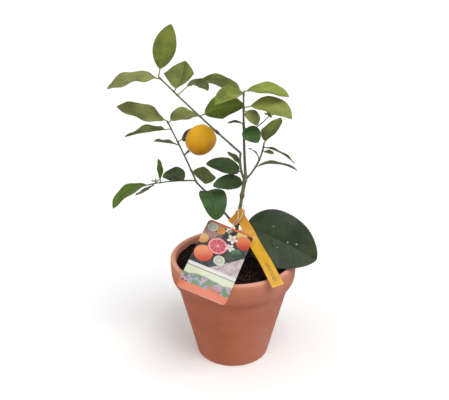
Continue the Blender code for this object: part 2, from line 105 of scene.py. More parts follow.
# Each leaf: limb, place along it, petiole, azimuth, elevation of its chord, droop, roll,
# length, width, fold, age, then its tone and how far its margins wave.
LEAVES = {
    "top": ("bough_left", 1.00, 8, 350, 73, 8, 108, 46, 23, 8, "young", "olive", 0.5),
    "crest_left": ("bough_left", 0.975, 4, 206, -8, 40, -26, 53, 20, 14, "young", "silver", 1.5),
    "crest_fold": ("bough_left", 0.82, 5, 70, 46, -30, -2, 36, 36, 18, "young", "shade", 0.8),
    "crest_right": ("bough_left", 0.78, 13, 32, -14, 96, -38, 30, 16, 14, "young", "silver", 0.6),
    "leader_left": ("leader", 0.96, 4, 166, 12, 50, 46, 48, 22, 10, "young", "pale", 0.8),
    "leader_front": ("leader", 0.99, 3, 240, -4, 30, -30, 56, 20, 20, "young", "olive", 0.6),
    "inner": ("bough_left", 0.51, 6, 22, 6, 30, -80, 47, 29, 14, "mature", "vivid", 0.8),
    "low_left": ("bough_low_top", 1.00, 3, 206, 20, 10, -48, 56, 22, 12, "young", "silver", 1.8),
    "low_right": ("bough_low_top", 0.96, 4, 38, 1, 54, 25, 38, 22, 10, "young", "silver", 0.9),
    "low_second": ("bough_low_top", 0.87, 8, 216, -1, 8, 32, 49, 22, 24, "young", "olive", 1.2),
    "low_third": ("bough_low_top", 0.61, 3, 161, 2, 9, 32, 29, 12, 21, "mature", "moss", 0.8),
    "fruit": ("bough_low_top", 0.66, 8, 60, 0, 19, -80, 38, 15, 5, "mature", "moss", 0.5),
    "twig_far": ("twig_low", 1.00, 4, 216, -24, 57, 5, 48, 30, 10, "mature", "fresh", 0.8),
    "twig_under": ("twig_low", 0.91, 3, 154, -34, -23, 6, 29, 20, 8, "mature", "fresh", 0.5),
    "twig_upright": ("twig_low", 0.77, 4, 106, 72, 4, 46, 23, 11, 14, "young", "fresh", 0.4),
    "twig_dark": ("twig_low", 0.25, 2, 232, 22, 44, 60, 36, 20, 16, "old", "dark", 0.6),
    "bough_under": ("bough_low_top", 0.19, 3, 46, -24, -14, 60, 40, 21, 8, "mature", "moss", 0.6),
    "stem_left": ("bough_left_foot", 0.34, 4, 214, 20, 24, -66, 46, 18, 14, "old", "dark", 0.8),
    "stem_behind": ("bough_left_foot", 0.60, 3, 130, 22, 20, 10, 22, 11, 12, "mature", "moss", 0.4),
    "fork_left": ("trunk", 0.926, 4, 217, 5, 20, -54, 40, 18, 12, "old", "dark", 0.8),
    "hanging": ("bough_low", 0.79, 10, 290, -37, 120, 2, 47, 30, 8, "old", "bottle", 0.5),
    "great": ("trunk", 0.46, 10, 340, -18, 14, 50, 90, 66, 6, "old", "great", 1.2),
    "leader_right": ("leader", 1.00, 3, 346, -5, 34, 20, 47, 24, 18, "young", "sunny", 0.7),
    "halfmoon": ("leader", 0.82, 9, 334, -11, 54, 28, 50, 26, 16, "young", "pale", 0.6),
    "under_moon": ("leader", 0.79, 4, 318, -40, 50, 20, 21, 16, 12, "mature", "silver", 0.4),
    "stem_dark": ("leader", 0.60, 4, 310, -30, 16, 30, 23, 20, 8, "old", "bottle", 0.5),
    "right_upright": ("bough_right", 1.00, 3, 54, 34, 0, -18, 37, 29, 14, "mature", "shade", 0.6),
    "right_arch": ("bough_right", 0.90, 4, 336, -23, 36, -27, 37, 12, 16, "mature", "moss", 0.6),
    "right_low": ("bough_right", 0.41, 4, 346, -3, 52, -25, 45, 21, 8, "mature", "moss", 0.6),
    "right_inner": ("bough_right", 0.58, 2, 149, 35, 73, 26, 18, 7, 12, "mature", "moss", 0.3),
    "right_small": ("bough_right", 0.81, 2, 326, -5, 10, 9, 13, 8, 12, "young", "silver", 0.3),
    "stem_small": ("leader", 0.63, 2, 172, -2, 40, 30, 16, 9, 12, "mature", "moss", 0.3),
}
# Each age's outline, by how full the blade is towards its foot and towards its tip.
OUTLINES = {"young": (0.80, 0.85), "mature": (0.62, 0.80), "old": (0.50, 0.68)}
# How far a leaf's outline is drawn out to the straight sides of a kite, and where that is widest.
KITES = {"crest_fold": 0.6, "bough_under": 0.5, "inner": 0.3, "right_upright": 0.3}
KITE_CORNER = 0.46
LEAF_MESH = (20, 54)  # columns across a blade and rows along it
TUFT_MESH = (8, 14)
VEIN_SPACING = 5.2
VEIN_SLANT = 0.75
BLADE_THICKNESS = 0.5
PETIOLE_RADIUS = 0.62
# The great leaf has a finer mesh, wider veins and pale specks, each by its place across and down it
# and its size.
GREAT_MESH = (56, 96)
GREAT_VEIN_SPACING = 9.0
SPECKS = [(2.0, 52.0, 1.3), (4.5, 62.0, 1.4), (12.0, 30.0, 0.9), (-9.0, 44.0, 0.8)]

# Each leaf tone: its upper face and its underside, as 0 to 255 display colours, and its roughness.
TONES = {
    "olive": ((110, 120, 46), (116, 124, 68), 0.50),
    # sunny and shade are lighter and darker copies of olive: painted light and painted shade
    "sunny": ((120, 130, 52), (126, 132, 74), 0.48),
    "silver": ((114, 120, 62), (122, 128, 82), 0.50),
    "shade": ((100, 108, 46), (108, 115, 70), 0.52),
    "pale": ((118, 125, 56), (134, 142, 80), 0.50),
    "moss": ((86, 96, 46), (98, 106, 66), 0.48),
    "fresh": ((66, 88, 22), (84, 102, 44), 0.45),
    "vivid": ((62, 92, 14), (90, 108, 36), 0.42),
    "dark": ((48, 68, 34), (70, 84, 50), 0.40),
    "bottle": ((50, 78, 36), (74, 92, 54), 0.42),
    "great": ((34, 47, 25), (62, 76, 46), 0.40),
}

# Each tuft of small young leaves: limb, place along it, heading, reach, longest leaf and count.
TUFTS = {
    "tuft_back": ("twig_back", 1.00, (30, 0), 4.0, 11.0, 8),
    "tuft_low": ("twig_low", 0.86, (120, 70), 3.4, 6.2, 4),
}
GOLDEN_ANGLE = 137.5

# Fruit
FRUIT_LIMB = ("bough_low_top", 0.445)
FRUIT_RADIUS = 16.6
FRUIT_LENGTH = 36.0
FRUIT_HEADING = (19, 39)
FRUIT_STALK = 6.5
FRUIT_MESH = (220, 130)
PEDICEL_RADIUS = 0.95
CALYX_RADIUS = 3.4

# Picture label, strip label and the elastic
CARD_SIZE = (55.0, 97.0)
CARD_THICKNESS = 0.8
CARD_CORNER = 5.0
CARD_TOP = (-2.3, -14.3, 169.0)
CARD_HEADING = (249, -24.5)
CARD_ROLL = -20
CARD_HOLE_RADIUS = 2.2
CARD_HOLE_INSET = 6.0
THREAD_RADIUS = 0.5
STRIP_THICKNESS = 0.7
STRIP_WIDTH = 14.0
STRIP_PRINT = (-31.0, -9.0)  # where the printed rules run, from the free end

FLOOR_SIZE = 60  # metres

# Camera: its place in metres, its tilt below the horizon and its turn to the left
CAMERA_PLACE = (0, -0.600, 0.433)
CAMERA_TILT = 21.4
CAMERA_TURN = 1.0
CAMERA_LENS = 44.9


# ---- shapes

def heading(azimuth, elevation):
    a, e = radians(azimuth), radians(elevation)
    return Vector((cos(a) * cos(e), sin(a) * cos(e), sin(e)))


def smoothstep(low, high, value):
    share = min(1.0, max(0.0, (value - low) / (high - low)))
    return share * share * (3 - 2 * share)


def spoke(side, over, turn):
    """The direction at a share of a full turn from side towards over."""
    a = tau * turn
    return side * cos(a) + over * sin(a)


def spline(values, t):
    """A smooth value between the middle two of four, for numbers and vectors."""
    a, b, c, d = (v if isinstance(v, float) else Vector(v) for v in values)
    return (b * 2 + (c - a) * t + (a * 2 - b * 5 + c * 4 - d) * t**2
            + (b * 3 - a - c * 3 + d) * t**3) * 0.5


def grown(start, azimuths, elevations, length):
    """Points of a limb whose heading turns evenly from its start to its tip."""
    count = max(4, round(length / LIMB_STEP))
    points = [start.copy()]
    for k in range(count):
        share = (k + 0.5) / count
        azimuth = azimuths[0] + (azimuths[1] - azimuths[0]) * share
        elevation = elevations[0] + (elevations[1] - elevations[0]) * share
        points.append(points[-1] + heading(azimuth, elevation) * (length / count))
    return points


def along(points, share):
    """The point at a share of a line's length."""
    place = share * (len(points) - 1)
    k = min(int(place), len(points) - 2)
    return points[k].lerp(points[k + 1], place - k)


def smoothly(points, share, closed=False):
    """The point at a share of a smooth curve through the points."""
    count = len(points)
    spans = count if closed else count - 1
    place = share * spans
    k = min(int(place), spans - 1)
    near = range(k - 1, k + 3)
    around = [points[n % count if closed else min(max(n, 0), count - 1)] for n in near]
    return spline(around, place - k)


def started(add, name, **settings):
    """The primitive that an operator adds, named and alone in the selection."""
    bpy.ops.object.select_all(action="DESELECT")
    add(**settings)
    piece = bpy.context.object
    piece.name = piece.data.name = name
    return piece


def select_only(piece):
    bpy.ops.object.select_all(action="DESELECT")
    piece.select_set(True)
    bpy.context.view_layer.objects.active = piece


def apply_modifier(piece, kind, **settings):
    select_only(piece)
    modifier = piece.modifiers.new(kind.lower(), kind)
    for field, value in settings.items():
        setattr(modifier, field, value)
    bpy.ops.object.modifier_apply(modifier=modifier.name)


def soften(piece, width, angle):
    """Rounds the piece's edges that are sharper than the angle."""
    apply_modifier(piece, "BEVEL", width=width * MM, segments=2, limit_method="ANGLE",
                   angle_limit=radians(angle))


def drill(piece, radius, depth, place):
    """Cuts an upright round hole whose middle is at place."""
    bit = started(bpy.ops.mesh.primitive_cylinder_add, "bit", vertices=32, radius=radius * MM,
                  depth=depth * MM, location=Vector(place) * MM)
    apply_modifier(piece, "BOOLEAN", operation="DIFFERENCE", object=bit, solver="EXACT")
    bpy.data.objects.remove(bit)


def flat_place(x, y):
    """A place in millimetres, as a piece's UV map holds it."""
    return 0.5 + x / FLAT_UNIT, y / FLAT_UNIT


def sheet(name, columns, rows, point, flat=None, closed=False):
    """A grid whose corners go to point(u, v) in millimetres, u across and v along, each 0 to 1.

    flat(u, v) gives the same corner's place on the piece's UV map, in millimetres.
    A closed sheet's two long edges meet, and its ends are filled.
    """
    piece = started(bpy.ops.mesh.primitive_grid_add, name, x_subdivisions=columns, y_subdivisions=rows,
                    size=1)
    mesh = piece.data
    shares = [(vert.co.x + 0.5, vert.co.y + 0.5) for vert in mesh.vertices]
    for vert, (u, v) in zip(mesh.vertices, shares):
        vert.co = point(u, v) * MM
    layer = mesh.uv_layers.active.data
    for loop in mesh.loops:
        u, v = shares[loop.vertex_index]
        layer[loop.index].uv = flat_place(*flat(u, v)) if flat else (u, v)
    if closed:
        close(piece)
    return piece


def close(piece):
    """Merges the piece's doubles, fills its open ends and turns its faces outwards."""
    select_only(piece)
    bpy.ops.object.mode_set(mode="EDIT")
    bpy.ops.mesh.select_all(action="SELECT")
    bpy.ops.mesh.remove_doubles(threshold=MERGE * MM)
    bpy.ops.mesh.select_all(action="DESELECT")
    bpy.ops.mesh.select_mode(type="EDGE")
    bpy.ops.mesh.select_non_manifold()
    bpy.ops.mesh.fill_holes(sides=0)
    bpy.ops.mesh.select_all(action="SELECT")
    bpy.ops.mesh.normals_make_consistent(inside=False)
    bpy.ops.object.mode_set(mode="OBJECT")


def joined(pieces, name):
    """Joins pieces into the first one. Each keeps its materials."""
    bpy.ops.object.select_all(action="DESELECT")
    for piece in pieces:
        piece.select_set(True)
    bpy.context.view_layer.objects.active = pieces[0]
    if len(pieces) > 1:
        bpy.ops.object.join()
    pieces[0].name = pieces[0].data.name = name
    return pieces[0]


def dress(piece, *finishes):
    for finish in finishes:
        piece.data.materials.append(finish)


def deliver(piece, angle, slot, *nodes):
    """Smooths the piece up to the angle, if one is given, and ties it to the plant. The slot is not used."""
    if angle:
        select_only(piece)
        bpy.ops.object.shade_smooth_by_angle(angle=radians(angle))
    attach(piece, BODY)
    if nodes:
        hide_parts(*nodes)


# ---- material steps

def shade(red, green, blue):
    """A display colour, 0 to 255, as the linear colour that a shader takes."""
    def linear(value):
        share = value / 255
        return share / 12.92 if share <= 0.04045 else ((share + 0.055) / 1.055) ** 2.4
    return (linear(red), linear(green), linear(blue), 1)


class Finish:
    """One material, its node tree built up by small steps."""

    def __init__(self, name, colour, roughness):
        self.material = bpy.data.materials.new(name)
        self.material.use_nodes = True
        self.tree = self.material.node_tree
        self.shader = self.tree.nodes["Principled BSDF"]
        self.shader.inputs["Base Color"].default_value = shade(*colour)
        self.shader.inputs["Roughness"].default_value = roughness
        self.material.diffuse_color = shade(*colour)

    def put(self, socket, value):
        if isinstance(value, bpy.types.NodeSocket):
            self.tree.links.new(value, socket)
        else:
            socket.default_value = value

    def node(self, kind, inputs=(), **settings):
        made = self.tree.nodes.new("ShaderNode" + kind)
        for field, value in settings.items():
            setattr(made, field, value)
        for key, value in dict(inputs).items():
            self.put(made.inputs[key], value)
        return made

    def here(self):
        return self.node("TexCoord").outputs["Object"]

    def flat(self):
        """Across and along the piece's own UV map, in millimetres."""
        flat = self.node("UVMap", uv_map="UVMap").outputs[0]
        across = self.times(self.less(self.part(flat, 0), 0.5), FLAT_UNIT)
        return across, self.times(self.part(flat, 1), FLAT_UNIT)

    def part(self, vector, axis):
        return self.node("SeparateXYZ", {0: vector}).outputs[axis]

    def math(self, operation, *values):
        return self.node("Math", dict(enumerate(values)), operation=operation).outputs[0]

    def plus(self, a, b):
        return self.math("ADD", a, b)

    def less(self, a, b):
        return self.math("SUBTRACT", a, b)

    def times(self, a, b):
        return self.math("MULTIPLY", a, b)

    def size(self, a):
        return self.math("ABSOLUTE", a)

    def away(self, across, down, x, y):
        """The steps from the spot x, y of the flat piece, and the distance from it."""
        dx, dy = self.less(across, x), self.less(down, y)
        return dx, dy, self.math("SQRT", self.plus(self.times(dx, dx), self.times(dy, dy)))

    def band(self, value, low, high, first=0.0, last=1.0):
        """first below low, last above high, and an eased value between."""
        return self.node("MapRange", {0: value, 1: low, 2: high, 3: first, 4: last},
                         interpolation_type="SMOOTHSTEP").outputs[0]

    def under(self, value, low, high):
        """1 below low, 0 above high, and an eased value between."""
        return self.band(value, low, high, 1.0, 0.0)

    def grain(self, coords, scale, detail=3, stretch=(1, 1, 1), rough=0.55):
        """Noise from 0 to 1, about scale marks in a unit."""
        if stretch != (1, 1, 1):
            coords = self.node("Mapping", {"Vector": coords, "Scale": stretch}).outputs[0]
        return self.node("TexNoise", {"Vector": coords, "Scale": scale, "Detail": detail,
                                      "Roughness": rough}).outputs[0]

    def mix(self, factor, first, last):
        """A colour between two, given as sockets or as display colours."""
        made = self.node("Mix", data_type="RGBA")
        self.put(made.inputs[0], factor)
        for place, colour in ((6, first), (7, last)):
            self.put(made.inputs[place], shade(*colour) if isinstance(colour, tuple) else colour)
        return made.outputs[2]

    def over(self, body, ink, where, strength):
        """The body with the ink over it, up to the strength, where where is above 0."""
        return self.mix(self.times(where, strength), body, ink)

    def colour(self, value):
        self.put(self.shader.inputs["Base Color"], value)

    def rough(self, value):
        self.put(self.shader.inputs["Roughness"], value)

    def specular(self, value):
        self.shader.inputs["Specular IOR Level"].default_value = value

    def relief(self, height, strength, distance):
        """Bump from a height of 0 to 1, distance millimetres deep."""
        bump = self.node("Bump", {"Height": height, "Strength": strength, "Distance": distance * MM})
        self.put(self.shader.inputs["Normal"], bump.outputs[0])


def terracotta():
    """Unglazed clay: soft mottling, faint turning lines, a paler mottled rim band, and painted light on its
    +X side.
    """
    clay = Finish("terracotta", (188, 108, 80), 0.88)
    here = clay.here()
    east, height = clay.part(here, 0), clay.part(here, 2)
    top = POT_HEIGHT * MM
    cloud = clay.grain(here, 22, 4)
    fine = clay.grain(here, 420, 4)
    lines = clay.grain(here, 5, 4, stretch=(1, 1, 40))
    body = clay.mix(clay.band(cloud, 0.30, 0.72), (180, 99, 71), (192, 111, 84))
    body = clay.over(body, (206, 128, 100), clay.band(lines, 0.36, 0.72), 0.08)
    body = clay.over(body, (152, 80, 58), clay.band(fine, 0.60, 0.80), 0.35)
    rim = clay.band(height, top - 0.031, top - 0.001)
    # the rim band mixed paler in noisy patches
    rim_paling = clay.times(rim, clay.band(clay.grain(here, 30, 5), 0.30, 0.72, 0.25, 0.75))
    body = clay.mix(rim_paling, body, (220, 152, 126))
    # painted light: the pot's +X side mixed paler in noisy patches, as if lit more strongly from the right
    painted_light_side = clay.times(clay.band(east, 0.0, 0.06), clay.band(cloud, 0.2, 0.8, 0.30, 0.55))
    body = clay.mix(painted_light_side, body, (226, 154, 134))
    lip = clay.times(clay.band(height, top - 0.0035, top - 0.0005), 0.45)
    clay.colour(clay.mix(lip, body, (234, 178, 154)))
    clay.rough(clay.band(fine, 0.3, 0.7, 0.82, 0.94))
    relief = clay.plus(clay.times(lines, 0.6), clay.times(fine, 0.5))
    clay.relief(relief, 0.35, 0.6)
    return clay.material


def compost(name, dark, light, roughness):
    earth = Finish(name, dark, roughness)
    here = earth.here()
    crumbs = earth.grain(here, 380, 5, rough=0.7)
    earth.colour(earth.mix(earth.band(crumbs, 0.42, 0.72), dark, light))
    earth.relief(crumbs, 0.8, 1.2)
    earth.specular(0.12)
    return earth.material


def bark(name, young, aged, scar):
    """Young bark: fine lengthwise streaks, and brown where the scar attribute says."""
    skin = Finish(name, young, 0.62)
    here = skin.here()
    streaks = skin.grain(here, 260, 4, stretch=(1, 1, 0.22))
    specks = skin.grain(here, 900, 2)
    body = skin.mix(skin.band(streaks, 0.38, 0.66), young, aged)
    body = skin.over(body, (150, 140, 104), skin.band(specks, 0.62, 0.72), 0.5)
    mark = skin.node("Attribute", attribute_name="scar").outputs["Fac"]
    skin.colour(skin.mix(mark, body, scar))
    skin.rough(skin.band(streaks, 0.3, 0.7, 0.52, 0.74))
    skin.relief(skin.plus(streaks, skin.times(specks, 0.3)), 0.6, 0.35)
    return skin.material


def great_leaf_marks(skin, body, across, down, here):
    """Greener towards the middle, with a painted grey sheen at the margins and a few small pale specks."""
    out = skin.size(across)
    haze = skin.grain(here, 38, 4)
    # painted sheen: grey towards the margins, where the glossy blade reflects light
    margin = skin.band(skin.plus(out, skin.times(haze, 16.0)), 22.0, 40.0)
    body = skin.over(body, (64, 72, 58), margin, 0.55)
    green = skin.times(skin.band(haze, 0.50, 0.72), skin.under(out, 8.0, 24.0))
    body = skin.over(body, (52, 70, 28), green, 0.5)
    for x, y, size in SPECKS:
        away = skin.away(across, down, x, y)[2]
        body = skin.mix(skin.band(away, size * 0.4, size, 0.8, 0.0), body, (176, 184, 160))
    return body


def leaf_finishes(tone):
    """The upper face and the underside of a leaf, veined in its own UV map."""
    upper, under, rough = TONES[tone]
    great = tone == "great"
    spacing = GREAT_VEIN_SPACING if great else VEIN_SPACING
    vein_strength = 0.07 if great else 0.30
    made = []
    for side, colour in (("upper", upper), ("under", under)):
        skin = Finish(f"leaf_{tone}_{side}", colour, rough + (0.2 if side == "under" else 0))
        across, down = skin.flat()
        here = skin.here()
        wander = skin.grain(here, 90, 2)
        out = skin.size(across)
        midrib = skin.under(out, 0.25, 0.75)
        slanted = skin.less(down, skin.times(out, VEIN_SLANT))
        slanted = skin.plus(slanted, skin.times(wander, 3.0))
        phase = skin.math("FRACT", skin.math("DIVIDE", slanted, spacing))
        away = skin.size(skin.less(phase, 0.5))
        side_vein = skin.under(away, 0.02, 0.10)
        mesh_veins = skin.node("TexVoronoi", {"Vector": here, "Scale": 620},
                               feature="DISTANCE_TO_EDGE").outputs[0]
        cells = skin.band(mesh_veins, 0.0, 0.25)
        clouds = skin.grain(here, 60, 4)
        lighter = tuple(min(255, value * 1.14 + 8) for value in colour)
        darker = tuple(value * 0.84 for value in colour)
        ribbed = tuple(min(255, value * 1.18 + 22) for value in colour)
        body = skin.mix(skin.band(clouds, 0.32, 0.70), darker, lighter)
        body = skin.over(body, ribbed, skin.less(1.0, cells), 0.20)
        body = skin.over(body, ribbed, side_vein, vein_strength)
        if great and side == "upper":
            body = great_leaf_marks(skin, body, across, down, here)
        skin.colour(skin.mix(skin.times(midrib, 0.25 if great else 0.55), body, ribbed))
        skin.rough(skin.band(clouds, 0.3, 0.7, rough - 0.06, rough + 0.10))
        turn = -1.0 if side == "upper" else 1.0
        raised = skin.times(skin.plus(side_vein, midrib), turn)
        raised = skin.plus(raised, skin.times(cells, 0.35 * -turn))
        skin.relief(raised, 0.5, 0.18)
        skin.specular(0.22 if side == "upper" else 0.12)
        made.append(skin.material)
    return made


def peel():
    """Ripe lemon peel: warm yellow, with painted shade deepening it to orange towards its underside, and tiny
    dark oil glands.
    """
    skin = Finish("lemon_peel", (226, 168, 40), 0.42)
    here = skin.here()
    height = skin.part(here, 2)
    low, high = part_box("lemon")
    clouds = skin.grain(here, 70, 3)
    # painted shade: deeper orange towards the fruit's underside, broken up by noise
    painted_shade_below = skin.band(height, low.z, high.z, 0.75, 0.0)
    painted_shade_below = skin.times(painted_shade_below, skin.band(clouds, 0.2, 0.8, 0.6, 1.2))
    glands = skin.node("TexVoronoi", {"Vector": here, "Scale": 780}).outputs[0]
    body = skin.mix(painted_shade_below, (242, 182, 20), (206, 122, 4))
    skin.colour(skin.mix(skin.band(glands, 0.05, 0.34, 0.30, 0.0), body, (176, 108, 10)))
    skin.relief(skin.band(glands, 0.05, 0.45), 0.5, 0.25)
    skin.specular(0.3)
    return skin.material


# ---- pot and soil

def inner_radius(z):
    """Radius of the pot's inner wall at height z, parallel to its outer taper."""
    slope = (NECK_RADIUS - FOOT_RADIUS) / (POT_HEIGHT - BAND_HEIGHT)
    return min(FOOT_RADIUS + slope * z - WALL, RIM_RADIUS - WALL)


def make_pot():
    """The pot, drawn up from its foot ring by ring, rounded, then its drain holes cut."""
    band_foot = POT_HEIGHT - BAND_HEIGHT
    inside_foot = inner_radius(FLOOR + 2)
    rings = [(FOOT_RADIUS - 2, 0), (FOOT_RADIUS - 0.4, 0.8), (FOOT_RADIUS, 3),
             ((FOOT_RADIUS + NECK_RADIUS) / 2, band_foot / 2)]
    for out, up in ((-0.3, -5), (0.3, -2.4), (1.3, -0.4), (3.2, 1.8)):
        rings.append((NECK_RADIUS + out, band_foot + up))
    for inset, up in ((3.3, 3.9), (2.0, 6.6), (1.0, 10.5)):
        rings.append((RIM_RADIUS - inset, band_foot + up))
    for inset, drop in ((0.3, 13), (0.05, 7), (0.3, 2.2), (1.6, 0.5), (3.2, 0), (5.2, 0.6), (WALL, 2.4),
                        (WALL + 0.3, 15)):
        rings.append((RIM_RADIUS - inset, POT_HEIGHT - drop))
    rings += [(inner_radius(band_foot - 2), band_foot - 2), (inside_foot, FLOOR + 2),
              (inside_foot - 2.5, FLOOR)]
    pot = started(bpy.ops.mesh.primitive_circle_add, "clay_pot", vertices=144, radius=rings[0][0] * MM,
                  fill_type="NGON")
    bpy.ops.object.mode_set(mode="EDIT")
    bpy.ops.mesh.select_mode(type="FACE")
    bpy.ops.mesh.select_all(action="SELECT")
    for (radius, z), (wider, higher) in zip(rings, rings[1:]):
        bpy.ops.mesh.extrude_region_move(TRANSFORM_OT_translate={"value": (0, 0, (higher - z) * MM)})
        growth = wider / radius
        bpy.ops.transform.resize(value=(growth, growth, 1), center_override=(0, 0, higher * MM))
    bpy.ops.mesh.select_all(action="SELECT")
    bpy.ops.mesh.normals_make_consistent(inside=False)
    bpy.ops.object.mode_set(mode="OBJECT")
    for hole in range(DRAIN_HOLES):
        centre = heading(90 + hole * 360 / DRAIN_HOLES, 0) * DRAIN_CIRCLE
        drill(pot, DRAIN_RADIUS, FLOOR * 3, centre)
    soften(pot, 0.5, 50)
    dress(pot, terracotta())
    deliver(pot, 40, "terracotta", "pot")


def make_soil():
    """Lumpy compost in a shallow closed body, with chips of composted bark and fibres on top."""
    edge = RIM_RADIUS - WALL - SOIL_GAP
    turn_down = 0.8  # the share of the rows that lie on the surface
    base = SOIL_TOP - SOIL_DEPTH
    waves = [(0.06, 2.2), (0.22, 1.5), (0.7, 0.6)]  # the lumps' frequency and height

    def surface(radius, a):
        spot = Vector((cos(a) * radius, sin(a) * radius, 0))
        lumps = sum(noise.noise(spot * often) * high for often, high in waves)
        drop = 2.6 * smoothstep(0.7, 1.0, radius / edge)
        calm = smoothstep(5.0, 12.0, radius)
        return Vector((spot.x, spot.y, SOIL_TOP - 0.3 - drop + lumps * calm))

    def point(u, v):
        a = tau * u
        if v <= turn_down:
            return surface(edge * v / turn_down, a)
        down = (v - turn_down) / (1 - turn_down)
        if down <= 0.5:
            rim = surface(edge, a)
            return Vector((rim.x, rim.y, rim.z + (base - rim.z) * down * 2))
        inward = edge * (1 - down) * 2
        return Vector((cos(a) * inward, sin(a) * inward, base))

    soil = sheet("potting_compost", 150, 80, point, closed=True)
    dress(soil, compost("compost", (17, 10, 8), (44, 28, 22), 0.95))
    deliver(soil, 60, "soil", "soil")

    mesh = bmesh.new()
    # Dark chips, brown chips and fibres: the share of each, its half sizes and its finish.
    kinds = [(0.42, (3.4, 1.5, 0.7), 0), (0.30, (2.2, 1.3, 0.8), 1), (0.28, (5.6, 0.42, 0.35), 2)]
    for _ in range(CHIPS):
        pick = chance.random()
        for share, size, index in kinds:
            if pick < share:
                break
            pick -= share
        radius = edge * sqrt(chance.random()) * 0.97
        a = chance.random() * tau
        if radius < 5:
            continue
        spot = surface(radius, a) + Vector((0, 0, CHIP_LIFT))
        swing = Matrix.Rotation(chance.random() * tau, 4, "Z")
        tip = Matrix.Rotation(chance.uniform(-0.35, 0.35), 4, "Y")
        grow = chance.uniform(0.6, 1.25)
        size = Matrix.Diagonal((*(part * grow for part in size), 1))
        chip = bmesh.ops.create_icosphere(mesh, subdivisions=1, radius=1)["verts"]
        offset = Vector((chance.random() * 9, 0, 0))
        for vert in chip:
            vert.co *= 1 + 0.5 * noise.noise(vert.co * 1.4 + offset)
            vert.co = Matrix.Translation(spot) @ swing @ tip @ size @ vert.co
            if Vector((vert.co.x, vert.co.y)).length > edge:
                vert.co.xy = vert.co.xy.normalized() * edge
        for face in {f for vert in chip for f in vert.link_faces}:
            face.material_index = index
    bmesh.ops.scale(mesh, vec=(MM, MM, MM), verts=mesh.verts)
    data = bpy.data.meshes.new("bark_chips")
    mesh.to_mesh(data)
    mesh.free()
    chips = bpy.data.objects.new("bark_chips", data)
    bpy.context.scene.collection.objects.link(chips)
    dress(chips, compost("chip_dark", (24, 15, 12), (54, 34, 26), 0.85),
          compost("chip_brown", (46, 26, 18), (92, 56, 38), 0.85),
          compost("fibre", (66, 40, 28), (116, 78, 54), 0.8))
    deliver(chips, None, "soil")


# ---- stem and boughs

def limb_lines():
    lines = {}
    for name, (parent, place, azimuths, elevations, length, _) in LIMBS.items():
        start = along(lines[parent], place) if parent else Vector((0, 0, SOIL_TOP + SOIL_GAP))
        lines[name] = grown(start, azimuths, elevations, length)
        if not parent:
            lines[name].insert(1, lines[name][0].lerp(lines[name][1], FOOT_STEP))
    return lines


def make_limb(name, lines, finish):
    """One limb in its bark, swollen at each leaf's and twig's foot, with brown scars."""
    line = lines[name]
    length = LIMBS[name][4]
    thick, thin = LIMBS[name][5]
    feet = [row[1] for row in LEAVES.values() if row[0] == name]
    feet += [row[1] for row in LIMBS.values() if row[0] == name]
    swelling, spread = FOOT_SWELL
    scars = SCARS.get(name, [])
    seed = Vector((len(name) * 3.1, 0, 0))

    def radius(share, a):
        r = thick + (thin - thick) * share
        if name == "trunk":
            r -= 0.35 * smoothstep(0.10, 0.25, share) * (1 - smoothstep(0.72, 0.80, share))
            r += FLARE * exp(-share * length / FLARE_HEIGHT)
        for foot in feet:
            r += swelling * exp(-((share - foot) * length / spread) ** 2)
        for scar, swell, reach in scars:
            r += swell * exp(-((share - scar) * length / reach) ** 2)
        skin = Vector((cos(a) * 2.2, sin(a) * 2.2, share * length * 0.25)) + seed
        return r * (1 + 0.07 * noise.noise(skin) + 0.04 * noise.noise(skin * 2.7))

    def frame_at(share):
        step = 0.5 / len(line)
        ahead = smoothly(line, min(share + step, 1.0)) - smoothly(line, max(share - step, 0.0))
        forward = ahead.normalized()
        side = forward.cross(Vector((0.13, 1, 0.07))).normalized()
        return smoothly(line, share), side, forward.cross(side)

    frames = {}

    def point(u, v):
        if v not in frames:
            frames[v] = frame_at(v)
        middle, side, over = frames[v]
        last = max(0.0, (v - 1) * length + 1.0)  # millimetres into a limb's rounded tip
        rounded = 1 if name == "trunk" else sqrt(max(0.05, 1 - last**2))
        return middle + spoke(side, over, u) * radius(v, tau * u) * rounded

    rows = round(length / BARK_STEP)
    limb = sheet(f"{name}_bark", BARK_COLUMNS, rows, point, closed=True)
    mark = limb.data.attributes.new("scar", "FLOAT", "POINT")
    middles = [(smoothly(line, scar), reach * 0.8 + 1.5, min(1, swell * 1.2)) for scar, swell, reach in scars]
    for vert, value in zip(limb.data.vertices, mark.data):
        browns = [exp(-((vert.co / MM - middle).length / reach) ** 4) * strength
                  for middle, reach, strength in middles]
        value.value = max(browns, default=0.0)
    dress(limb, finish)
    deliver(limb, 70, "bark" if name == "trunk" else "twig", name)


# ---- leaves

def half_width(share, width, age, kite):
    """Half the blade's width at a share of its length, by the outline of its age.

    kite, 0 to 1, draws the outline out to straight sides with a corner where it is widest.
    """
    base, tip = OUTLINES[age]
    widest = base / (base + tip)
    peak = widest**base * (1 - widest) ** tip
    share = min(max(share, 0.0), 1.0)
    rounded = (share**base * (1 - share) ** tip) / peak
    straight = min(share / KITE_CORNER, (1 - share) / (1 - KITE_CORNER))
    return width / 2 * (rounded + (straight * 1.08 - rounded) * kite)


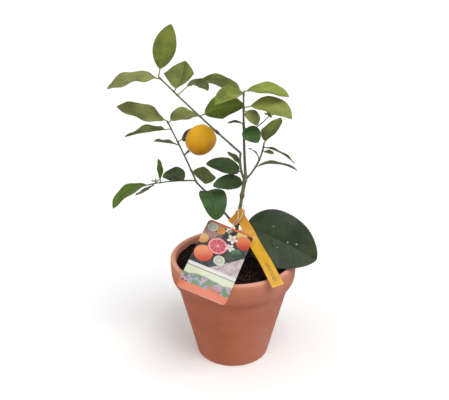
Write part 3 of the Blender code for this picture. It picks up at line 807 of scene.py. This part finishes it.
def leaf_mesh(name, start, row, finishes, grid, kite=0.0, spacing=VEIN_SPACING):
    """A blade on its petiole. It follows an arc, folds along its midrib and waves at its margins."""
    petiole, azimuth, chord, droop, roll, length, width, fold, age, wave = row
    base = radians(chord + droop / 2)
    bend = radians(droop)
    lift = radians(fold)
    level = heading(azimuth + 90, 0)
    flat_heading = heading(azimuth, 0)
    foot_forward = heading(azimuth, chord + droop / 2)
    foot = start + foot_forward * petiole
    seed = Vector((length * 1.3, width * 0.7, roll * 0.05))
    phase = noise.noise(seed) * 6
    groove = 0.5
    crease = 1.0

    def midrib(share):
        """The midrib's point and heading: an arc whose elevation falls by the droop."""
        elevation = base - bend * share
        if abs(bend) < 1e-4:
            out, up = cos(base) * share, sin(base) * share
        else:
            out = (sin(base) - sin(elevation)) / bend
            up = (cos(elevation) - cos(base)) / bend
        place = foot + (flat_heading * out + Vector((0, 0, up))) * length
        forward = flat_heading * cos(elevation) + Vector((0, 0, sin(elevation)))
        return place, forward

    def half(share):
        notch = 1 + 0.014 * sin(share * length * 2.1) * smoothstep(0.1, 0.3, share)
        return max(0.35 * (1 - share) + 0.08, half_width(share, width, age, kite) * notch)

    def across(u, share):
        t = 1 - 2 * u
        return copysign(abs(t) ** 1.25, t) * half(share)

    def point(u, v):
        place, forward = midrib(v)
        side = Matrix.Rotation(radians(roll), 3, forward) @ level
        over = forward.cross(side)
        x = across(u, v)
        t = x / half(v)
        ridge = sqrt(x * x + crease * crease) - crease
        rise = ridge * sin(lift)
        margin = abs(t) ** 2.2 * smoothstep(0.0, 0.15, v) * (1 - smoothstep(0.85, 1.0, v))
        rise += wave * margin * sin(v * 13 + phase + (1.9 if t > 0 else 0.0))
        rise += 0.4 * wave * noise.noise(Vector((x * 0.12, v * length * 0.10, 0)) + seed)
        veins = (v * length - VEIN_SLANT * abs(x)) / spacing
        rise += 0.14 * abs(sin(pi * veins)) * smoothstep(0.6, 3.0, abs(x)) * min(1, width / 16)
        rise -= 0.30 * exp(-(x / groove) ** 2)
        return place + side * x * cos(lift) + over * rise

    blade = sheet(name, *grid, point, lambda u, v: (across(u, v), v * length))
    dress(blade, *finishes)
    apply_modifier(blade, "SOLIDIFY", thickness=BLADE_THICKNESS * MM, offset=0, material_offset=1,
                   material_offset_rim=1)

    side = foot_forward.orthogonal().normalized()
    over = foot_forward.cross(side)
    inside = foot + foot_forward * min(2.5, length * 0.08)
    reach = (inside - start).length

    def stalk_point(u, v):
        """The petiole, swollen at its foot and where the blade starts."""
        out = v * reach
        swollen = 0.25 * exp(-out**2) + 0.12 * exp(-((out - petiole) / 0.8) ** 2)
        r = (PETIOLE_RADIUS + swollen) * (1 - 0.55 * smoothstep(0.75, 1.0, v))
        sag = Vector((0, 0, -0.12 * reach * v * (1 - v)))
        return start.lerp(inside, v) + sag + spoke(side, over, u) * r

    stalk = sheet(f"{name}_stalk", 10, max(6, round(reach / 0.8)), stalk_point,
                  lambda u, v: (0.0, v), closed=True)
    dress(stalk, finishes[0])
    return joined([blade, stalk], name)


def make_leaf(name, lines, finishes):
    limb, place, *form, age, tone, wave = LEAVES[name]
    start = smoothly(lines[limb], place)
    grid, spacing = (GREAT_MESH, GREAT_VEIN_SPACING) if tone == "great" else (LEAF_MESH, VEIN_SPACING)
    leaf = leaf_mesh(f"blade_{name}", start, (*form, age, wave), finishes[tone], grid,
                     KITES.get(name, 0.0), spacing)
    deliver(leaf, 50, f"{age}_leaf", f"leaf_{name}")


def make_tuft(name, lines, finishes):
    """A shoot's small unopened leaves, fanned round the twig's end."""
    limb, place, direction, reach, longest, count = TUFTS[name]
    start = smoothly(lines[limb], place)
    middle = heading(*direction)
    leaves = []
    for k in range(count):
        azimuth = direction[0] + (k * GOLDEN_ANGLE) % 360
        chord = 62 - 74 * k / count
        length = longest * chance.uniform(0.62, 0.95)
        roll = chance.uniform(-20, 20)
        row = (1.2, azimuth, chord, 34, roll, length, length * 0.45, 16, "young", 0.25)
        foot = start + middle * reach * 0.55 * k / count
        tone = "olive" if k % 3 else "silver"
        leaves.append(leaf_mesh(f"{name}_{k}", foot, row, finishes[tone], TUFT_MESH))
    shoot = joined(leaves, name.replace("tuft", "shoot"))
    deliver(shoot, 50, "young_leaf", name)


# ---- fruit

def make_fruit(lines, twig_finish):
    forward = heading(*FRUIT_HEADING)
    side = forward.orthogonal().normalized()
    over = forward.cross(side)
    foot = along(lines[FRUIT_LIMB[0]], FRUIT_LIMB[1])
    shoulder = foot + forward * (FRUIT_STALK + 1)

    def point(u, share):
        """A point of the peel: blunt at the stalk, with a low nipple at the tip."""
        turn = pi * share
        reach = FRUIT_LENGTH * (0.5 - 0.5 * cos(turn))
        radius = FRUIT_RADIUS * max(sin(turn), 0) ** 0.92
        reach += 1.1 * exp(-(share / 0.05) ** 2)
        reach -= 0.9 * exp(-((share - 0.90) / 0.035) ** 2)
        spot = spoke(side, over, u) * radius + forward * reach
        ribs = 0.006 * cos(5 * tau * u) * exp(-(share / 0.18) ** 2)
        place = shoulder + spot * (1 + 0.012 * noise.noise(spot * 0.12) + ribs)
        near = noise.voronoi(place * 0.75, distance_metric="DISTANCE", exponent=2.5)[0][0]
        out = (spot - forward * FRUIT_LENGTH / 2).normalized()
        return place - out * 0.13 * (1 - smoothstep(0.10, 0.45, near))

    lemon = sheet("ripe_lemon", *FRUIT_MESH, point, closed=True)
    dress(lemon, peel())
    deliver(lemon, 80, "fruit", "lemon")

    def stalk(u, v):
        grow = PEDICEL_RADIUS + 0.5 * smoothstep(0.3, 0.9, v) + 0.08 * sin(5 * tau * u)
        return foot + forward * (FRUIT_STALK + 0.9) * v + spoke(side, over, u) * grow

    def star(u, v):
        """The calyx: five blunt lobes pressed on the fruit's shoulder."""
        lobe = 0.72 + 0.28 * abs(cos(2.5 * tau * u))
        r = CALYX_RADIUS * lobe * min(v, 1 - v) * 2
        lift = 0.45 if v < 0.5 else -0.25
        back = 0.3 + lift * (1 - r / 4) - 0.035 * r * r
        return shoulder - forward * back + spoke(side, over, u) * r

    pedicel = sheet("fruit_stalk", 16, 10, stalk, closed=True)
    calyx = sheet("calyx", 50, 8, star, closed=True)
    dress(pedicel, twig_finish)
    dress(calyx, twig_finish)
    deliver(joined([pedicel, calyx], "fruit_stalk"), 50, "twig", "lemon_stalk")


# ---- labels

def card_frame():
    """Places the card: its own -Y runs down its length, and +X across it, level."""
    down = heading(*CARD_HEADING)
    across = Matrix.Rotation(radians(CARD_ROLL), 3, down) @ heading(CARD_HEADING[0] + 90, 0)
    face = across.cross(-down)
    turn = Matrix((across, -down, face)).transposed().to_4x4()
    return Matrix.Translation(Vector(CARD_TOP)) @ turn


BLOSSOM_INKS = ((236, 214, 206), (250, 244, 240))
# The card's printed pictures: kind, middle from the card's upper middle, radius, and two colours.
PRINTED_FRUIT = [
    ("whole", (-24.5, -28.0), 6.6, (222, 150, 92), (240, 206, 140)),
    ("whole", (-16.5, -46.5), 10.6, (214, 84, 62), (246, 158, 112)),
    ("slice", (-19.5, -9.0), 6.2, (196, 206, 182), (234, 236, 222)),
    ("slice", (-9.0, -9.5), 4.8, (226, 138, 40), (244, 190, 96)),
    ("whole", (15.0, -6.5), 6.4, (196, 184, 84), (232, 220, 140)),
    ("whole", (20.0, -14.5), 9.2, (200, 60, 40), (242, 138, 90)),
    ("slice", (-5.5, -31.0), 11.2, (214, 92, 104), (246, 186, 186)),
    ("slice", (2.6, -48.0), 6.4, (190, 200, 174), (232, 234, 218)),
    ("whole", (16.5, -31.0), 5.6, (38, 66, 44), (96, 128, 92)),
    ("blossom", (6.5, -15.0), 6.4, *BLOSSOM_INKS),
    ("blossom", (8.0, -27.0), 5.2, *BLOSSOM_INKS),
    ("blossom", (-1.0, -5.5), 4.0, *BLOSSOM_INKS),
]
PRINT_DARKENING = 0.20  # how far every colour of the print is mixed towards black


def print_finish():
    """The card's face: fruit and blossom over a board, a pale garden below, and orange ends."""
    card = Finish("card_print", (230, 140, 100), 0.38)
    x, y = card.flat()
    here = card.here()
    soft = card.grain(here, 160, 3)

    def within(distance, radius, edge=0.35):
        return card.under(distance, radius - edge, radius + edge)

    def rays(wave, dx, dy, count):
        """A wave that rises from 0 to 1 and falls again count times round a middle."""
        return card.size(card.math(wave, card.times(card.math("ARCTAN2", dy, dx), count / 2)))

    picture = card.mix(card.band(soft, 0.35, 0.7), (44, 44, 48), (84, 84, 90))
    cloth = card.times(card.under(x, -14.0, -2.0), card.band(y, -30.0, -20.0))
    picture = card.over(picture, (214, 168, 160), cloth, 0.75)
    leafy = card.times(card.band(card.grain(here, 110, 2), 0.52, 0.60), 0.9)
    picture = card.mix(leafy, picture, (58, 88, 48))
    board_edge = card.plus(y, card.times(x, -0.9))
    board = card.under(board_edge, -58.4, -57.6)
    plank = card.size(card.plus(card.less(y, card.times(x, 1.4)), 66.0))
    wood = card.mix(card.band(soft, 0.3, 0.7), (184, 166, 166), (224, 210, 210))
    wood = card.mix(within(plank, 0.5, 0.2), wood, (120, 106, 116))
    picture = card.mix(board, picture, wood)
    for kind, (mx, my), radius, deep, light in PRINTED_FRUIT:
        dx, dy, away = card.away(x, y, mx, my)
        if kind == "whole":
            lit = card.plus(card.times(dx, -0.5), dy)
            flesh = card.mix(card.band(lit, -radius, radius * 0.8), deep, light)
        elif kind == "blossom":
            petals = rays("COSINE", dx, dy, 5)
            reach = card.times(card.plus(card.times(petals, 0.55), 0.45), radius)
            flesh = card.mix(card.band(away, 0.0, radius), deep, light)
            flesh = card.mix(within(away, radius * 0.2), flesh, (222, 176, 60))
        else:
            skins = card.times(rays("SINE", dx, dy, 9), away)
            flesh = card.mix(card.band(skins, radius * 0.04, radius * 0.10), light, deep)
            flesh = card.mix(within(away, radius * 0.14), flesh, light)
            flesh = card.mix(card.band(away, radius * 0.76, radius * 0.82), flesh, light)
            flesh = card.mix(card.band(away, radius * 0.90, radius * 0.94), flesh, deep)
        inside = within(card.less(away, reach), 0.0, 0.3) if kind == "blossom" else within(away, radius)
        picture = card.mix(inside, picture, flesh)
    hills = card.plus(y, card.times(card.grain(here, 60, 2), 9.0))
    garden = card.mix(card.band(hills, -72.5, -69.0), (104, 136, 88), (226, 230, 200))
    beds = card.grain(here, 150, 3)
    for low, ink in ((0.50, (150, 160, 196)), (0.56, (214, 168, 170)), (0.62, (70, 76, 84))):
        near_hills = card.under(hills, -74.0, -70.0)
        garden = card.over(garden, ink, card.band(beds, low, low + 0.03), near_hills)
    walk = card.times(within(card.size(card.less(x, 10.0)), 7.5, 1.5), card.under(y, -85.5, -78.0))
    garden = card.over(garden, (206, 104, 82), walk, 0.7)
    orange = (226, 116, 72)
    for edge, ink in ((-61.4, (236, 232, 230)), (-65.8, (132, 118, 116)), (-66.8, garden), (-87.6, orange)):
        picture = card.mix(within(y, edge, 0.2), picture, ink)
    picture = card.mix(card.band(y, -3.0, -2.6), picture, orange)
    picture = card.mix(PRINT_DARKENING, picture, (0, 0, 0))
    card.colour(picture)
    card.relief(card.grain(here, 900, 2), 0.08, 0.1)
    return card.material


def make_card():
    width, length = CARD_SIZE
    card = started(bpy.ops.mesh.primitive_plane_add, "picture_card", size=1)
    bpy.ops.object.mode_set(mode="EDIT")
    bpy.ops.mesh.select_all(action="SELECT")
    bpy.ops.transform.resize(value=(width * MM, length * MM, 1))
    bpy.ops.transform.translate(value=(0, -length / 2 * MM, 0))
    bpy.ops.mesh.bevel(offset=CARD_CORNER * MM, segments=8, affect="VERTICES")
    bpy.ops.object.mode_set(mode="OBJECT")
    dress(card, print_finish(), Finish("card_back", (228, 222, 212), 0.45).material)
    apply_modifier(card, "SOLIDIFY", thickness=CARD_THICKNESS * MM, offset=1, material_offset=1,
                   material_offset_rim=1)
    drill(card, CARD_HOLE_RADIUS, CARD_THICKNESS * 10, (0, -CARD_HOLE_INSET, 0))
    soften(card, 0.12, 60)
    layer = card.data.uv_layers.active.data
    for loop in card.data.loops:
        corner = card.data.vertices[loop.vertex_index].co / MM
        layer[loop.index].uv = flat_place(corner.x, corner.y)
    place = card_frame()
    place.translation = place.translation * MM
    card.data.transform(place)
    deliver(card, 40, "card", "picture_label")


def ribbon(name, stations, thickness, rows, columns):
    """A strip through (middle, side direction, width) stations, smoothed between them."""
    middles = [Vector(middle) for middle, _, _ in stations]
    sides = [Vector(side) for _, side, _ in stations]
    widths = [width for _, _, width in stations]
    run = [0.0]
    for a, b in zip(middles, middles[1:]):
        run.append(run[-1] + (b - a).length)

    def from_end(v):
        """The length along the stations from the free end, which is 0, back to v."""
        place = v * (len(run) - 1)
        k = min(int(place), len(run) - 2)
        return run[k] + (run[k + 1] - run[k]) * (place - k) - run[-1]

    def point(u, v):
        side = smoothly(sides, v).normalized()
        return smoothly(middles, v) + side * smoothly(widths, v) * (0.5 - u)

    made = sheet(name, columns, rows, point, lambda u, v: ((0.5 - u) * STRIP_WIDTH, from_end(v)))
    apply_modifier(made, "SOLIDIFY", thickness=thickness * MM, offset=0)
    return made


def strip_finish():
    """Yellow plastic, deeper orange in a painted shadow towards the loop, with two short rules of plain
    printed dashes near its end.
    """
    strip = Finish("strip_yellow", (226, 176, 40), 0.42)
    across, down = strip.flat()
    here = strip.here()
    clouds = strip.grain(here, 90, 3)
    body = strip.mix(strip.band(clouds, 0.3, 0.7), (204, 152, 24), (220, 168, 34))
    # painted shadow: deeper orange more than 55 mm back from the free end, towards the loop, where the
    # picture card shades the strip
    body = strip.mix(strip.under(down, -95.0, -55.0), body, (206, 142, 12))
    dashes = strip.node("TexNoise", {"W": strip.times(down, 1.1), "Scale": 1.0, "Detail": 1.0},
                        noise_dimensions="1D").outputs[0]
    print_band = strip.size(strip.less(strip.size(across), 1.1))
    row = strip.under(print_band, 0.45, 0.65)
    stretch = strip.times(strip.band(down, STRIP_PRINT[0], STRIP_PRINT[0] + 0.4),
                         strip.under(down, STRIP_PRINT[1], STRIP_PRINT[1] + 0.4))
    ink = strip.times(strip.times(row, stretch), strip.band(dashes, 0.40, 0.44))
    strip.colour(strip.over(body, (60, 50, 34), ink, 0.85))
    strip.relief(clouds, 0.15, 0.4)
    return strip.material


def make_strip():
    """The yellow label: a band looped round the trunk, then a straight run over the rim."""
    stations = [
        ((-2.2, -13.0, 173.9), (0.72, 0.20, -0.66), 11.0),
        ((4.6, -12.0, 180.8), (0.72, 0.15, -0.66), 12.0),
        ((10.2, -9.3, 187.0), (0.50, 0.10, -0.85), 9.5),
        ((12.8, -1.0, 182.5), (0.00, 0.10, -1.00), 6.5),
        ((8.2, 5.0, 181.5), (-0.10, 0.00, -1.00), 6.5),
        ((2.2, -0.6, 180.5), (-0.10, -0.10, -1.00), 6.5),
        ((7.9, -6.4, 181.3), (-0.75, -0.25, -0.60), 8.0),
        ((12.1, -10.0, 174.1), (-0.88, -0.35, -0.30), 11.0),
        ((18.2, -14.0, 163.8), (-0.88, -0.40, -0.20), 13.0),
        ((24.0, -22.0, 153.8), (-0.90, -0.40, -0.10), STRIP_WIDTH),
        ((36.0, -50.0, 143.8), (-0.92, -0.38, -0.08), STRIP_WIDTH),
        ((48.2, -75.0, 128.8), (-0.92, -0.36, -0.16), STRIP_WIDTH),
    ]
    strip = ribbon("yellow_strip", stations, STRIP_THICKNESS, 120, 8)
    soften(strip, 0.15, 60)
    dress(strip, strip_finish())
    deliver(strip, 40, "strip", "strip_label")


def make_thread():
    """The covered elastic that hangs the picture label, looped through its hole."""
    place = card_frame()
    points = [place @ Vector(p) for p in ((0, -CARD_HOLE_INSET, -2.2), (0, -CARD_HOLE_INSET, 3.0),
                                          (0, 3.0, 4.0))]
    points += [Vector(p) for p in ((4.8, -16.4, 182.0), (5.2, -12.2, 189.4), (5.4, 0.0, 190.0),
                                   (8.6, 3.6, 190.4), (11.8, 0.0, 190.0), (10.8, -12.0, 189.4),
                                   (8.0, -16.4, 182.4))]
    points.append(place @ Vector((1.0, 3.0, -2.6)))

    def point(u, v):
        step = 0.004
        behind, middle, ahead = (smoothly(points, (v + n * step) % 1.0, closed=True) for n in (-1, 0, 1))
        forward = (ahead - behind).normalized()
        side = forward.cross(Vector((0.3, 0.2, 1))).normalized()
        over = forward.cross(side)
        twist = cos(3 * tau * u + v * 420)  # its cover's three strands
        return middle + spoke(side, over, u) * THREAD_RADIUS * (0.92 + 0.12 * twist)

    thread = sheet("elastic_thread", 12, 360, point, closed=True)
    cover = Finish("elastic", (226, 222, 212), 0.7)
    weave = cover.grain(cover.here(), 1500, 2)
    cover.colour(cover.mix(cover.band(weave, 0.35, 0.65), (206, 200, 190), (238, 235, 228)))
    cover.relief(weave, 0.4, 0.15)
    dress(thread, cover.material)
    deliver(thread, 60, "thread", "thread")


# ---- room, light and camera

def make_stage():
    """A white floor, an even pale sky and two broad lamps, the stronger from the right."""
    floor = started(bpy.ops.mesh.primitive_plane_add, "floor", size=FLOOR_SIZE)
    floor.visible_diffuse = False
    dress(floor, Finish("floor_white", (253, 253, 253), 1.0).material)
    world = bpy.data.worlds.new("soft_studio")
    world.use_nodes = True
    sky = world.node_tree.nodes["Background"]
    sky.inputs["Color"].default_value = (1, 1, 1, 1)
    sky.inputs["Strength"].default_value = 0.5
    bpy.context.scene.world = world
    # Each lamp: its azimuth, its elevation, how wide it is, in degrees, and its power.
    lamps = {"key": (-50, 58, 35, 1.5), "fill": (-125, 50, 90, 0.9)}
    for name, (azimuth, elevation, spread, power) in lamps.items():
        light = bpy.data.lights.new(name, "SUN")
        light.angle = radians(spread)
        light.energy = power
        lamp = bpy.data.objects.new(name, light)
        lamp.rotation_euler = heading(azimuth, elevation).to_track_quat("Z", "Y").to_euler()
        bpy.context.scene.collection.objects.link(lamp)


def make_camera():
    lens = bpy.data.cameras.new("camera")
    lens.lens = CAMERA_LENS
    lens.sensor_width = 36
    camera = bpy.data.objects.new("camera", lens)
    camera.location = CAMERA_PLACE
    camera.rotation_euler = (radians(90 - CAMERA_TILT), 0, radians(CAMERA_TURN))
    bpy.context.scene.collection.objects.link(camera)
    bpy.context.scene.camera = camera


def main():
    make_camera()
    make_stage()
    bpy.context.scene.view_settings.view_transform = "Standard"
    make_pot()
    make_soil()
    lines = limb_lines()
    old_wood = bark("bark_olive_brown", (118, 114, 76), (134, 120, 86), (84, 60, 46))
    green_wood = bark("bark_green", (92, 98, 62), (106, 106, 78), (86, 54, 42))
    for name in LIMBS:
        make_limb(name, lines, old_wood if name == "trunk" else green_wood)
    finishes = {tone: leaf_finishes(tone) for tone in TONES}
    for name in LEAVES:
        make_leaf(name, lines, finishes)
    for name in TUFTS:
        make_tuft(name, lines, finishes)
    make_fruit(lines, green_wood)
    make_card()
    make_strip()
    make_thread()


main()
